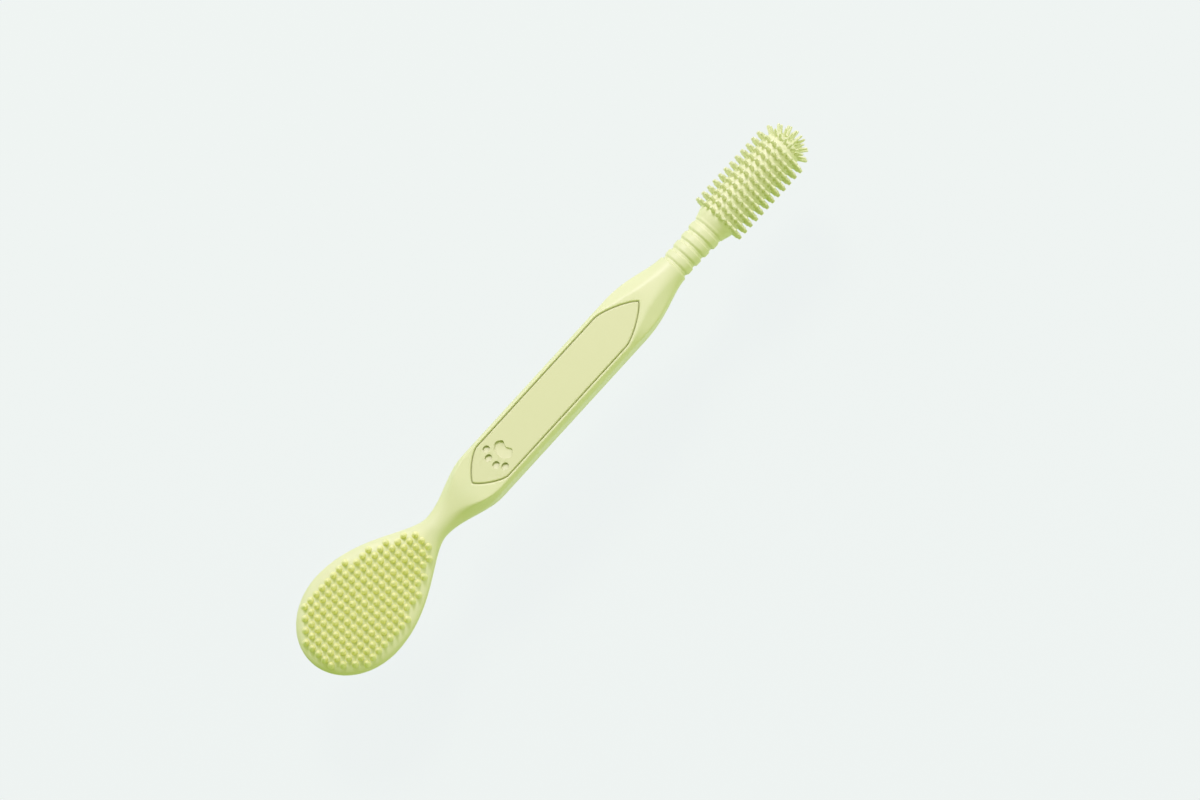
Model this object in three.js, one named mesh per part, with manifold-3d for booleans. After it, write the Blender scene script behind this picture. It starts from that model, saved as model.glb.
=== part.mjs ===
// A double-ended pet toothbrush: a flat egg-shaped paddle with a field of nubs at one end, a grip
// with an inlaid front panel in the middle, and a bristled finger on a ribbed, flexible neck at
// the other end. Millimetres. X runs along the brush towards the finger, Z points out of the
// front face. Stations along the brush are counted from the middle of the grip.

import * as THREE from "three";
import { mergeGeometries, mergeVertices } from "three/addons/utils/BufferGeometryUtils.js";
import Module from "manifold-3d";

// ---- Driving dimensions ----

const clearance = 0.3; // between pieces that seat on each other

const gripLength = 57; // the straight part of the grip
const gripHalfWidth = 7.2;
const gripHalfThickness = 5.5;
const frontHalfWidth = 6.4; // the flat front face, up to its edges
const sideHalfHeight = 3.6; // the upright side face, up to its edges

const paddleTaperLength = 16.8; // from the grip to the slimmest place of the slim neck
const slimNeckRadius = 3.55;
const paddleShoulderLength = 30.9; // from the slim neck to the widest place of the paddle
const paddleTipLength = 17.5; // from the widest place to the tip
const paddleHalfWidth = 14.65;
const paddleHalfThickness = 2.4;
const paddleRimWidth = 2.2; // over which the paddle's edge is rounded
const paddleFlatLength = 13.9; // from the widest place to where the paddle starts to thicken

const headTaperLength = 19.26; // from the grip to the first groove of the ribbed neck
const neckRadius = 3.7; // in the first groove
const ringCount = 4;
const ringPitch = 3.15;
const ringCrest = 0.42; // height of a ring over its grooves
const neckFlare = 0.6; // growth in radius from the first groove to the last
const ringEdge = 0.3; // over which a ring's edges are rounded
const ringEdgeDrop = 0.08; // of a ring's edges under its grooves
const lastRibLength = 1; // of the handle's own rib, up to the first groove
const lastRibRadius = 4.25;
const grooveBend = THREE.MathUtils.degToRad(8); // how far the neck bends at one groove
const ballRadius = 3.2; // of the ball that each ring of the neck turns on, in the next one
const ballReach = 2.6; // of the ball past its groove, where it is cut flat

// How far the handle's outline stays level where its curves start and end.
const paddleShoulderLead = 14.9;
const slimNeckLead = 6;
const gripLead = 5.5;
const headTaperLead = 9.9;
const lastRibLead = 5.9;
const facetLead = 3; // of the side face's curves
const fadeLead = 7; // of the curves that fade the front face and the facets out

const collarLength = 4.61; // from the last groove to the first row of bristles
const sleeveRadius = 5.5; // of the finger under its bristles
const sleeveWall = 2.1;
const bristleLength = 2.5;
const bristleRadius = 0.74; // at the root
const bristleTipRadius = 0.48;
const bristleRows = 12;
const bristleRowPitch = 2.165;
const bristlesAround = 20;
const domeSetback = 0.485; // from the last straight row back to the middle of the dome
const domeRows = [[27, 20], [48, 15], [69, 9]]; // tilt in degrees, bristles in the row
const domeThinness = 0.8; // of the dome's bristles, beside the straight ones

const nubPitch = 2.22;
const nubColumns = 19;
const nubTipMargin = 2.95; // from the paddle's tip to the first column
const nubEdgeMargin = 1.96; // least distance of a nub from the paddle's side
const nubHeight = 1.8;
const nubRadius = 0.95; // at the root
const nubTipRadius = 0.36;
const padThickness = 1;
const padProud = 0.05; // over the paddle's front face
const padInset = 1; // from the paddle's outline
const padEndMargin = 1.6; // from the last column of nubs to the end of the pad
const padEndRound = 3;
const padBevel = 0.35;

const inlayHalfWidth = 5.6;
const inlayThickness = 1.2;
const inlayBevel = 0.25;
const paddleOgiveLength = 7.8; // the pointed ends of the inlay
const headOgiveLength = 11.2;
const paddleOgiveReach = 2.2; // past the ends of the straight grip
const headOgiveReach = 5.35;
const pawDepth = 0.45;
const pawDistance = 9.55; // from the straight grip's end to the middle of the main pad
const pawPadLength = 3.7;
const pawPadWidth = 5.6;
const toeRadius = 0.9;
const toeStretch = 1.15; // length of a toe over its width
const toeDistance = 4.4; // from the middle of the main pad
const toeAngles = [-50, -18, 18, 50];

const coreLength = 43; // the stiffener in the grip
const coreWidth = 7;
const coreThickness = 6.2;
const coreRodRadius = 1.6; // the rod that it sends through the slim neck
const coreRodPast = 2.4; // past the slimmest place
const coreRodBevel = 0.5;
const fingerCoreEnd = 1.2; // length of the finger core's bevelled end

// ---- Stations along the brush, from the dimensions above ----

const gripEnd = gripLength / 2;
const slimNeckX = -gripEnd - paddleTaperLength;
const paddleWideX = slimNeckX - paddleShoulderLength;
const paddleTipX = paddleWideX - paddleTipLength;
const grooveX = (index) => gripEnd + headTaperLength + index * ringPitch;
const firstRowX = grooveX(ringCount) + collarLength;
const lastRowX = firstRowX + (bristleRows - 1) * bristleRowPitch;
const domeX = lastRowX - domeSetback;
const headTipX = domeX + sleeveRadius + bristleLength;
const inlayPaddleTipX = -gripEnd - paddleOgiveReach;
const inlayHeadTipX = gripEnd + headOgiveReach;

// ---- Curves ----

const point = (x, y) => new THREE.Vector2(x, y);

// Height at x on a smooth S-curve that is level at both ends. Each end is [x, height, lead],
// where the lead is how far the curve stays near that end's height.
function sCurve(x, [startX, startY, startLead], [endX, endY, endLead]) {
  if (x <= startX) return startY;
  if (x >= endX) return endY;
  const curve = new THREE.CubicBezierCurve(
    point(startX, startY),
    point(startX + startLead, startY),
    point(endX - endLead, endY),
    point(endX, endY),
  );
  let low = 0;
  let high = 1;
  for (let step = 0; step < 30; step++) {
    const middle = (low + high) / 2;
    if (curve.getPoint(middle).x < x) low = middle;
    else high = middle;
  }
  return curve.getPoint(low).y;
}

const ellipseHeight = (share) => Math.sqrt(Math.max(0, 1 - share * share));

function spread(start, end, count) {
  return Array.from({ length: count }, (_, i) => start + ((end - start) * i) / count);
}

// Half width of the paddle's, the slim neck's and the grip's outline, seen from the front.
function halfWidth(x) {
  if (x < paddleWideX) return paddleHalfWidth * ellipseHeight((paddleWideX - x) / paddleTipLength);
  if (x < slimNeckX) {
    const shoulder = [paddleWideX, paddleHalfWidth, paddleShoulderLead];
    return sCurve(x, shoulder, [slimNeckX, slimNeckRadius, slimNeckLead]);
  }
  if (x < 0) {
    const slimNeck = [slimNeckX, slimNeckRadius, slimNeckLead];
    return sCurve(x, slimNeck, [-gripEnd, gripHalfWidth, gripLead]);
  }
  const lastRib = [grooveX(0), lastRibRadius, lastRibLead];
  return sCurve(x, [gripEnd, gripHalfWidth, headTaperLead], lastRib);
}

const faceLip = 3 * clearance; // that the front face keeps past the inlay's points

// Half thickness, seen from the side.
function halfThickness(x) {
  const rim = Math.min(1, (x - paddleTipX) / paddleRimWidth);
  if (rim < 1) return paddleHalfThickness * ellipseHeight(1 - rim);
  const slimNeck = [slimNeckX, slimNeckRadius, slimNeckLead];
  if (x < slimNeckX) {
    const paddle = [paddleWideX + paddleFlatLength, paddleHalfThickness, fadeLead];
    return sCurve(x, paddle, slimNeck);
  }
  if (x < 0) return sCurve(x, slimNeck, [inlayPaddleTipX - faceLip, gripHalfThickness, gripLead]);
  const gripFace = [inlayHeadTipX + faceLip, gripHalfThickness, facetLead];
  return sCurve(x, gripFace, [grooveX(0), lastRibRadius, facetLead]);
}

const facetShare = 0.4; // half width of a face where it has run out, in radii of the neck

// The front face narrows beside the inlay's points and runs out towards the necks.
function frontHalf(x) {
  if (x < 0) {
    const start = [slimNeckX, slimNeckRadius * facetShare, fadeLead];
    return sCurve(x, start, [-gripEnd + paddleOgiveReach, frontHalfWidth, fadeLead]);
  }
  const start = [inlayHeadTipX - headOgiveLength, frontHalfWidth, facetLead];
  return sCurve(x, start, [grooveX(0), neckRadius * facetShare, headTaperLead]);
}

// The upright side face closes beside the tapers.
function sideHalf(x) {
  if (x < 0) {
    const end = [-gripEnd + paddleOgiveReach, sideHalfHeight, facetLead];
    const start = [-gripEnd - paddleTaperLength / 3, slimNeckRadius * facetShare, facetLead];
    return sCurve(x, start, end);
  }
  const end = [grooveX(0), neckRadius * facetShare, facetLead];
  return sCurve(x, [gripEnd, sideHalfHeight, facetLead], end);
}

// 0 where the section has flat faces, 1 where it is round.
function roundness(x) {
  if (x < 0) return sCurve(x, [slimNeckX, 1, fadeLead], [inlayPaddleTipX - faceLip, 0, gripLead]);
  return sCurve(x, [inlayHeadTipX - headOgiveLength / 2, 0, headTaperLead], [grooveX(0), 1, facetLead]);
}

// ---- Sections of the handle ----

const quarterSteps = 5; // faces in a quarter of a section
const edgeSoftness = 0.45; // of the edges between the grip's faces

// A quarter of a round section; a wide one is a flat of half width flat with round edges.
function roundQuarter(width, thickness, flat) {
  const share = Math.min(1, flat / paddleRimWidth);
  return Array.from({ length: quarterSteps + 1 }, (_, i) => {
    if (i === 0) return point(0, thickness);
    const evenly = i / quarterSteps;
    const pastFlat = (i - 1) / (quarterSteps - 1);
    const angle = (Math.PI / 2) * (1 - THREE.MathUtils.lerp(evenly, pastFlat, share));
    return point(flat + (width - flat) * Math.cos(angle), thickness * Math.sin(angle));
  });
}

// A quarter of the grip's section: front face, slanted shoulder and side face, with soft edges.
function facetQuarter(width, thickness, front, side) {
  const corner = point(front, thickness);
  const edge = point(width, side);
  const slant = edge.clone().sub(corner);
  const softness = Math.min(slant.length() / quarterSteps, edgeSoftness);
  const along = slant.clone().normalize();
  return [
    point(0, thickness),
    point(front - softness, thickness),
    corner.clone().addScaledVector(along, softness),
    edge.clone().addScaledVector(along, -softness),
    point(width, side - softness),
    point(width, 0),
  ];
}

function handleSection(x) {
  const width = halfWidth(x);
  const thickness = halfThickness(x);
  const flat = x < slimNeckX ? Math.max(0, width - Math.max(paddleRimWidth, thickness)) : 0;
  const round = roundQuarter(width, thickness, flat);
  const share = x < slimNeckX ? 1 : roundness(x);
  const facets = facetQuarter(width, thickness, frontHalf(x), sideHalf(x));
  const quarter = round.map((p, i) => facets[i].clone().lerp(p, share));
  return mirrorQuarter(x, quarter);
}

// A whole section from its quarter between +Z and +Y, turning from +Y towards +Z.
function mirrorQuarter(x, quarter) {
  const rising = quarter.slice(1).reverse();
  const signs = [[1, 1, rising], [-1, 1, quarter.slice(0, -1)], [-1, -1, rising],
    [1, -1, quarter.slice(0, -1)]];
  return signs.flatMap(([ySign, zSign, points]) =>
    points.map((p) => new THREE.Vector3(x, ySign * p.x, zSign * p.y)));
}

const roundSection = (x, radius) => mirrorQuarter(x, roundQuarter(radius, radius, 0));

// Skins a row of sections, closed by a point at each end.
function loft(firstPoint, sections, lastPoint) {
  const around = sections[0].length;
  const vertices = [firstPoint, ...sections.flat(), lastPoint];
  const last = vertices.length - 1;
  const id = (section, i) => 1 + section * around + (i % around);
  const faces = [];
  for (let i = 0; i < around; i++) {
    faces.push(0, id(0, i + 1), id(0, i));
    for (let s = 0; s + 1 < sections.length; s++) {
      faces.push(id(s, i), id(s, i + 1), id(s + 1, i));
      faces.push(id(s, i + 1), id(s + 1, i + 1), id(s + 1, i));
    }
    faces.push(id(sections.length - 1, i), id(sections.length - 1, i + 1), last);
  }
  const geometry = new THREE.BufferGeometry().setFromPoints(vertices);
  geometry.setIndex(faces);
  return geometry;
}

// ---- Cutting and joining ----

const wasm = await Module();
wasm.setup();

function toSolid(geometry) {
  const bare = geometry.clone();
  bare.deleteAttribute("normal");
  bare.deleteAttribute("uv");
  const merged = mergeVertices(bare, 1e-4);
  return new wasm.Manifold(new wasm.Mesh({
    numProp: 3,
    vertProperties: new Float32Array(merged.attributes.position.array),
    triVerts: new Uint32Array(merged.index.array),
  }));
}

function toGeometry(solid) {
  const mesh = solid.getMesh();
  const geometry = new THREE.BufferGeometry();
  geometry.setAttribute("position", new THREE.BufferAttribute(mesh.vertProperties, 3));
  geometry.setIndex(new THREE.BufferAttribute(mesh.triVerts, 1));
  return geometry;
}

const cut = (geometry, ...tools) =>
  toGeometry(tools.reduce((solid, tool) => solid.subtract(toSolid(tool)), toSolid(geometry)));
const join = (geometry, ...others) =>
  toGeometry(others.reduce((solid, other) => solid.add(toSolid(other)), toSolid(geometry)));

// ---- Shapes ----

const bristleSides = 4;
const neckSides = 20;
const rodSides = 12;
const arcSteps = 2; // faces along the arcs of the neck's balls and sockets

// A plate of the outline between two heights, with its upper edge bevelled.
function plate(outline, bottom, top, bevel = 0) {
  const geometry = new THREE.ExtrudeGeometry(new THREE.Shape(outline), {
    depth: top - bottom - bevel,
    bevelEnabled: bevel > 0,
    bevelSize: bevel,
    bevelThickness: bevel,
    bevelOffset: -bevel,
    bevelSegments: 1,
  });
  geometry.translate(0, 0, bottom);
  return bevel > 0 ? flattenBelow(geometry, bottom) : geometry;
}

// Brings the lower bevel of a plate up to its bottom face.
function flattenBelow(geometry, bottom) {
  const position = geometry.attributes.position;
  for (let i = 0; i < position.count; i++) position.setZ(i, Math.max(position.getZ(i), bottom));
  return geometry;
}

// A revolved piece round the brush's axis, from points [station, radius].
function revolve(profile, segments, turn = 0) {
  const points = profile.map(([x, radius]) => point(radius, x));
  return new THREE.LatheGeometry(points, segments, turn).rotateZ(-Math.PI / 2);
}

// A bristle or nub from the origin up +Z, sunk below its root, with a blunt tip.
function bristle(rootRadius, tipRadius, height, sink) {
  const profile = [
    point(0, -sink),
    point(rootRadius, -sink),
    point(tipRadius, height - tipRadius / 2),
    point(0, height),
  ];
  return new THREE.LatheGeometry(profile, bristleSides).rotateX(Math.PI / 2);
}

// ---- Pieces ----

// Half width of a groove of the ribbed neck, which opens outwards to leave room for its bend.
const grooveHalfWidth = (radius) => clearance / 2 + (radius * 1.04 * Math.tan(grooveBend)) / 2;

// Points [station, radius] on a sphere round a groove's middle, between two angles from its plane.
function sphereArc(index, radius, start, end) {
  return [...spread(start, end, arcSteps), end].map((angle) =>
    [grooveX(index) + radius * Math.sin(angle), radius * Math.cos(angle)]);
}

// The ball past a groove, from its root to the middle of its flat end.
function ballProfile(index) {
  const root = -Math.asin(grooveHalfWidth(ballRadius) / ballRadius);
  const end = Math.asin(ballReach / ballRadius);
  return [...sphereArc(index, ballRadius, root, end), [grooveX(index) + ballReach, 0]];
}

const socketRadius = ballRadius + clearance;
const socketMouth = Math.asin(grooveHalfWidth(socketRadius) / socketRadius);
const ballEndRadius = Math.sqrt(ballRadius ** 2 - ballReach ** 2);
const socketDepth = ballReach + clearance + ballEndRadius * Math.sin(grooveBend);

// The socket for a ball, from the middle of its flat bottom to its mouth.
function socketProfile(index) {
  const start = Math.asin(socketDepth / socketRadius);
  const arc = sphereArc(index, socketRadius, start, socketMouth);
  return [[grooveX(index) + socketDepth, 0], ...arc];
}

// The neck keeps its radius over the first grooves and flares over the last.
const grooveRadius = (index) => neckRadius + neckFlare * (index / ringCount) ** 3;

function handleStations() {
  const rim = spread(0, Math.PI / 2, 4).slice(1).map((angle) =>
    paddleTipX + paddleRimWidth * (1 - Math.cos(angle)));
  return [
    ...rim,
    ...spread(paddleTipX + paddleRimWidth, paddleWideX, 5),
    ...spread(paddleWideX, slimNeckX, 9),
    ...spread(slimNeckX, inlayPaddleTipX - clearance, 6),
    ...spread(inlayPaddleTipX - clearance, -gripEnd + paddleOgiveReach, 3),
    -gripEnd + paddleOgiveReach,
    ...spread(inlayHeadTipX - headOgiveLength, inlayHeadTipX + clearance, 5),
    ...spread(inlayHeadTipX + clearance, grooveX(0) - lastRibLength, 5),
  ];
}

function makeHandleBody() {
  const neckEnd = grooveX(0) - grooveHalfWidth(neckRadius);
  const stations = handleStations();
  const ball = ballProfile(0);
  const sections = [
    ...stations.map(handleSection),
    roundSection(neckEnd - ringEdge, lastRibRadius),
    roundSection(neckEnd, neckRadius - ringEdgeDrop),
    ...ball.slice(0, -1).map(([x, radius]) => roundSection(x, radius)),
  ];
  const tip = new THREE.Vector3(paddleTipX, 0, 0);
  const pole = new THREE.Vector3(ball.at(-1)[0], 0, 0);
  const whole = loft(tip, sections, pole);
  return cut(whole, inlayPocket(), coreChannel(), padTray());
}

const ogiveSoftness = 0.25; // share of an ogive's length that keeps near the full width

// The last control point of an ogive, from its tip, as shares of its length and half width.
const ogiveTipLead = 0.13;
const ogiveTipRise = 0.36;

// Half of a pointed end of the inlay: from its full width to the tip.
function ogive(tipX, length, halfWide) {
  const side = Math.sign(tipX);
  const start = tipX - side * length;
  return new THREE.CubicBezierCurve(
    point(start, halfWide),
    point(start + side * length * ogiveSoftness, halfWide),
    point(tipX - side * length * ogiveTipLead, halfWide * ogiveTipRise),
    point(tipX, 0),
  );
}

function inlayOutline(grow) {
  const wide = inlayHalfWidth + grow;
  const ends = [
    ogive(inlayHeadTipX + grow, headOgiveLength + grow, wide),
    ogive(inlayPaddleTipX - grow, paddleOgiveLength + grow, wide),
  ];
  const [head, paddle] = ends.map((curve) => curve.getPoints(8));
  const mirrored = (points) => points.map((p) => point(p.x, -p.y));
  return [
    ...mirrored(head),
    ...head.slice(0, -1).reverse(),
    ...paddle,
    ...mirrored(paddle.slice(0, -1)).reverse(),
  ];
}

const inlayBottom = gripHalfThickness - inlayThickness;
const coreTop = inlayBottom - clearance;
const coreBottom = coreTop - coreThickness;

const inlayPocket = () =>
  plate(inlayOutline(clearance), inlayBottom - clearance, gripHalfThickness + 1);

// The stiffener, or with grow the hollow that it lies in, open to the inlay's pocket.
function coreShape(grow) {
  const bar = new THREE.BoxGeometry(coreLength + 2 * grow, coreWidth + 2 * grow, coreThickness + grow);
  bar.translate(0, 0, (coreTop + coreBottom - grow) / 2);
  const rodStart = -coreLength / 2 + coreRodRadius;
  const rodEnd = slimNeckX - coreRodPast - grow;
  const radius = coreRodRadius + grow;
  const rod = revolve([
    [rodEnd, 0],
    [rodEnd, radius - coreRodBevel],
    [rodEnd + coreRodBevel, radius],
    [rodStart, radius],
    [rodStart, 0],
  ], rodSides);
  return join(bar, rod);
}

function coreChannel() {
  const mouth = new THREE.BoxGeometry(
    coreLength + 2 * clearance,
    coreWidth + 2 * clearance,
    2 * clearance,
  );
  mouth.translate(0, 0, coreTop);
  return join(coreShape(clearance), mouth);
}

function makeFrontInlay() {
  const panel = plate(inlayOutline(0), inlayBottom, gripHalfThickness, inlayBevel);
  const floor = gripHalfThickness - pawDepth;
  const above = gripHalfThickness + 1;
  return cut(panel, ...pawOutlines().map((outline) => plate(outline, floor, above)));
}

// A plain paw mark: a two-lobed main pad and four toes on an arc towards the paddle.
function pawOutlines() {
  const padX = -gripEnd + pawDistance;
  const halfLength = pawPadLength / 2;
  const padWide = pawPadWidth / 2;
  const pad = new THREE.CatmullRomCurve3([
    [-halfLength, 0], [-halfLength * 0.8, padWide * 0.6], [halfLength * 0.1, padWide],
    [halfLength * 0.95, padWide * 0.6], [halfLength * 0.6, 0], [halfLength * 0.95, -padWide * 0.6],
    [halfLength * 0.1, -padWide], [-halfLength * 0.8, -padWide * 0.6],
  ].map(([x, y]) => new THREE.Vector3(padX + x, y, 0)), true).getPoints(20);
  const toes = toeAngles.map((degrees) => {
    const angle = THREE.MathUtils.degToRad(degrees);
    const middle = [padX - toeDistance * Math.cos(angle), toeDistance * Math.sin(angle)];
    const toe = new THREE.EllipseCurve(...middle, toeRadius * toeStretch, toeRadius);
    return toe.getPoints(10).slice(1);
  });
  return [pad.slice(1).map((p) => point(p.x, p.y)), ...toes];
}

const nubColumnX = (column) => paddleTipX + nubTipMargin + column * nubPitch;
const padEndX = nubColumnX(nubColumns - 1) + padEndMargin;

// The nub pad's outline: half an ellipse at the tip, the paddle's own sides and a round end.
function padOutline(grow) {
  const inset = padInset - grow;
  const tipLength = paddleTipLength - inset;
  const roundStart = padEndX + grow - padEndRound;
  const tip = spread(0, Math.PI / 2, 8).slice(1).map((angle) => point(
    paddleWideX - tipLength * Math.cos(angle),
    (paddleHalfWidth - inset) * Math.sin(angle),
  ));
  const side = spread(paddleWideX, roundStart, 7).map((x) => point(x, halfWidth(x) - inset));
  const end = spread(0, Math.PI / 2, 4).map((angle) => {
    const x = roundStart + padEndRound * Math.sin(angle);
    return point(x, (halfWidth(x) - inset) * Math.cos(angle));
  });
  const left = [...tip, ...side, ...end];
  const right = left.map((p) => point(p.x, -p.y));
  return [point(paddleTipX + inset, 0), ...right, point(padEndX + grow, 0), ...left.reverse()];
}

const padTop = paddleHalfThickness + padProud;
const padTray = () =>
  plate(padOutline(clearance), padTop - padThickness - clearance, padTop + 1);

function makePaddlePad() {
  const base = plate(padOutline(0), padTop - padThickness, padTop, padBevel);
  const nub = bristle(nubRadius, nubTipRadius, nubHeight, padThickness / 2);
  const nubs = [];
  for (let column = 0; column < nubColumns; column++) {
    const x = nubColumnX(column);
    const sideRows = Math.floor((halfWidth(x) - nubEdgeMargin) / nubPitch);
    for (let row = -sideRows; row <= sideRows; row++) {
      nubs.push(nub.clone().translate(x, row * nubPitch, padTop));
    }
  }
  return join(base, mergeGeometries(nubs));
}

// One ring of the ribbed neck: a socket towards the handle, a ball towards the finger.
function makeNeckRing(index) {
  const low = grooveRadius(index);
  const high = grooveRadius(index + 1);
  const left = grooveX(index) + grooveHalfWidth(low);
  const right = grooveX(index + 1) - grooveHalfWidth(high);
  const band = [
    [left, low - ringEdgeDrop],
    [left + ringEdge, low + ringCrest * 0.7],
    [(left + right) / 2, (low + high) / 2 + ringCrest],
    [right - ringEdge, high + ringCrest * 0.7],
    [right, high - ringEdgeDrop],
  ];
  return revolve([...socketProfile(index), ...band, ...ballProfile(index + 1)], neckSides);
}

const sleeveBore = sleeveRadius - sleeveWall;

// The silicone finger: a flared collar, a bristled sleeve and a bristled dome, open at the neck.
function makeBrushSleeve() {
  const mouth = grooveX(ringCount);
  const mouthRadius = grooveRadius(ringCount) + ringCrest;
  const faceX = mouth + grooveHalfWidth(mouthRadius - ringCrest);
  const boreMeetsSocket = Math.acos(sleeveBore / socketRadius);
  const inside = [
    [domeX + clearance, 0],
    [domeX + clearance, sleeveBore * 0.6],
    [domeX - fingerCoreEnd + clearance, sleeveBore],
    ...sphereArc(ringCount, socketRadius, boreMeetsSocket, socketMouth),
  ];
  const collar = [
    [faceX, mouthRadius - ringCrest],
    [faceX + ringEdge, mouthRadius],
    [firstRowX - bristleRowPitch / 2, sleeveRadius],
  ];
  const dome = spread(0, Math.PI / 2, 5).map((angle) =>
    [domeX + sleeveRadius * Math.sin(angle), sleeveRadius * Math.cos(angle)]);
  const profile = [...inside, ...collar, ...dome, [domeX + sleeveRadius, 0]];
  const shell = revolve(profile, bristlesAround, Math.PI / bristlesAround);
  return join(shell, mergeGeometries([...straightBristles(), ...domeBristles()]));
}

const headBristle = (thinness) =>
  bristle(bristleRadius * thinness, bristleTipRadius * thinness, bristleLength, sleeveWall / 3);

// A bristle at an angle round the finger, tilted towards its tip, on a circle of a given radius.
function placeBristle(geometry, x, radius, around, tilt) {
  geometry.translate(0, 0, radius).rotateY(tilt).rotateX(around);
  return geometry.translate(x, 0, 0);
}

function straightBristles() {
  const bristles = [];
  for (let row = 0; row < bristleRows; row++) {
    for (let i = 0; i < bristlesAround; i++) {
      const around = (2 * Math.PI * i) / bristlesAround;
      const x = firstRowX + row * bristleRowPitch;
      bristles.push(placeBristle(headBristle(1), x, sleeveRadius, around, 0));
    }
  }
  return bristles;
}

function domeBristles() {
  const tip = placeBristle(headBristle(domeThinness), domeX, sleeveRadius, 0, Math.PI / 2);
  const rows = domeRows.flatMap(([degrees, count]) => Array.from({ length: count }, (_, i) => {
    const around = (2 * Math.PI * i) / count;
    const tilt = THREE.MathUtils.degToRad(degrees);
    return placeBristle(headBristle(domeThinness), domeX, sleeveRadius, around, tilt);
  }));
  return [...rows, tip];
}

// The firm core that the silicone finger is stretched over, with the last socket in its end.
function makeFingerCore() {
  const radius = sleeveBore - clearance;
  const bottom = Math.asin(socketDepth / socketRadius);
  return revolve([
    [grooveX(ringCount) + socketDepth, 0],
    ...sphereArc(ringCount, socketRadius, bottom, Math.acos(radius / socketRadius)),
    [domeX - fingerCoreEnd, radius],
    [domeX, radius * 0.6],
    [domeX, 0],
  ], neckSides);
}

// ---- The assembly ----

const finish = (color, roughness) =>
  new THREE.MeshStandardMaterial({ color, roughness, metalness: 0 });
const silicone = () => finish(0xdfe9ae, 0.55);
const panelSilicone = () => finish(0xe2e4b2, 0.62);
const firmPlastic = () => finish(0xf0f0ea, 0.45);

function piece(name, geometry, material) {
  const mesh = new THREE.Mesh(geometry, material);
  mesh.name = name;
  return mesh;
}

// The group's origin is the middle of the whole length, on the brush's axis.
const group = new THREE.Group();
group.position.x = -(paddleTipX + headTipX) / 2;

const handle = new THREE.Group();
handle.add(
  piece("handle_body", makeHandleBody(), silicone()),
  piece("front_inlay", makeFrontInlay(), panelSilicone()),
  piece("grip_stiffener", coreShape(0), firmPlastic()),
  piece("paddle_nub_pad", makePaddlePad(), silicone()),
);

const ribbedNeck = new THREE.Group();
for (let index = 0; index < ringCount; index++) {
  ribbedNeck.add(piece(`neck_ring_${index + 1}`, makeNeckRing(index), silicone()));
}

const finger = new THREE.Group();
finger.add(
  piece("finger_core", makeFingerCore(), firmPlastic()),
  piece("finger_sleeve", makeBrushSleeve(), silicone()),
);

group.add(handle, ribbedNeck, finger);

export default group;
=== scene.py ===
"""A double-ended silicone pet toothbrush: a nubbed paddle, a grip with an inlaid panel and a
bristled finger on a ribbed neck. Sizes are in millimetres. Stations, the x of every shape here,
are counted along the brush from the middle of the grip towards the finger, as in the source of
the solids, and y and z are the frame's own."""

import math

import bpy
import numpy as np
from mathutils import Matrix, Vector


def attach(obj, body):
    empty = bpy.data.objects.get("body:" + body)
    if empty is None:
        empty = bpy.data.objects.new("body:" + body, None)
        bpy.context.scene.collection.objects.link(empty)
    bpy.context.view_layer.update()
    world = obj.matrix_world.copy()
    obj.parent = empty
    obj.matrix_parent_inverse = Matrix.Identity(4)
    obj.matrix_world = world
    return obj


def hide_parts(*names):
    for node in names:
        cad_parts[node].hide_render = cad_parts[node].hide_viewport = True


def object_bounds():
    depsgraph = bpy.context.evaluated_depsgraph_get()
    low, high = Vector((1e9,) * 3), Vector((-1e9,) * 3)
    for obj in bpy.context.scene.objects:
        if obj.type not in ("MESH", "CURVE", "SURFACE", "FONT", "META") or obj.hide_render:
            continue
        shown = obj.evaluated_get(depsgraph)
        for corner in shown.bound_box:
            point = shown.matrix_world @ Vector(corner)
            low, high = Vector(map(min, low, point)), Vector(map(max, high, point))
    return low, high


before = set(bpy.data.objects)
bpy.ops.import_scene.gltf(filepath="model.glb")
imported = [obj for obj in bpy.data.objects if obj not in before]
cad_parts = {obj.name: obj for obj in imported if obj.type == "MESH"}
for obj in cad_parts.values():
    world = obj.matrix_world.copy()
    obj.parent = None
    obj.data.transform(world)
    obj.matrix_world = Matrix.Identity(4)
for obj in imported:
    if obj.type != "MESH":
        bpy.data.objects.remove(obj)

MM = 0.001
cad_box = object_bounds()

# ---- Sizes of the solids that the looks follow ----

GRIP_LENGTH = 57
GRIP_HALF_WIDTH = 7.2
GRIP_HALF_THICKNESS = 5.5
FRONT_HALF_WIDTH = 6.4
SIDE_HALF_HEIGHT = 3.6

PADDLE_TAPER_LENGTH = 16.8
SLIM_NECK_RADIUS = 3.55
PADDLE_SHOULDER_LENGTH = 30.9
PADDLE_TIP_LENGTH = 17.5
PADDLE_HALF_WIDTH = 14.65
PADDLE_FLAT_LENGTH = 13.9

HEAD_TAPER_LENGTH = 19.26
RING_COUNT = 4
RING_PITCH = 3.15
RING_CREST = 0.42
NECK_RADIUS = 3.7
NECK_FLARE = 0.6
LAST_RIB_RADIUS = 4.25

COLLAR_LENGTH = 4.61
SLEEVE_RADIUS = 5.5
BRISTLE_LENGTH = 2.5
BRISTLE_ROWS = 12
BRISTLE_ROW_PITCH = 2.165
BRISTLES_AROUND = 20
DOME_SETBACK = 0.485
DOME_ROWS = [(27, 20), (48, 15), (69, 9)]  # tilt in degrees, bristles in the row
DOME_THINNESS = 0.8

NUB_PITCH = 2.22
NUB_COLUMNS = 19
NUB_TIP_MARGIN = 2.95
NUB_EDGE_MARGIN = 1.96
NUB_HEIGHT = 1.8

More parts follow.
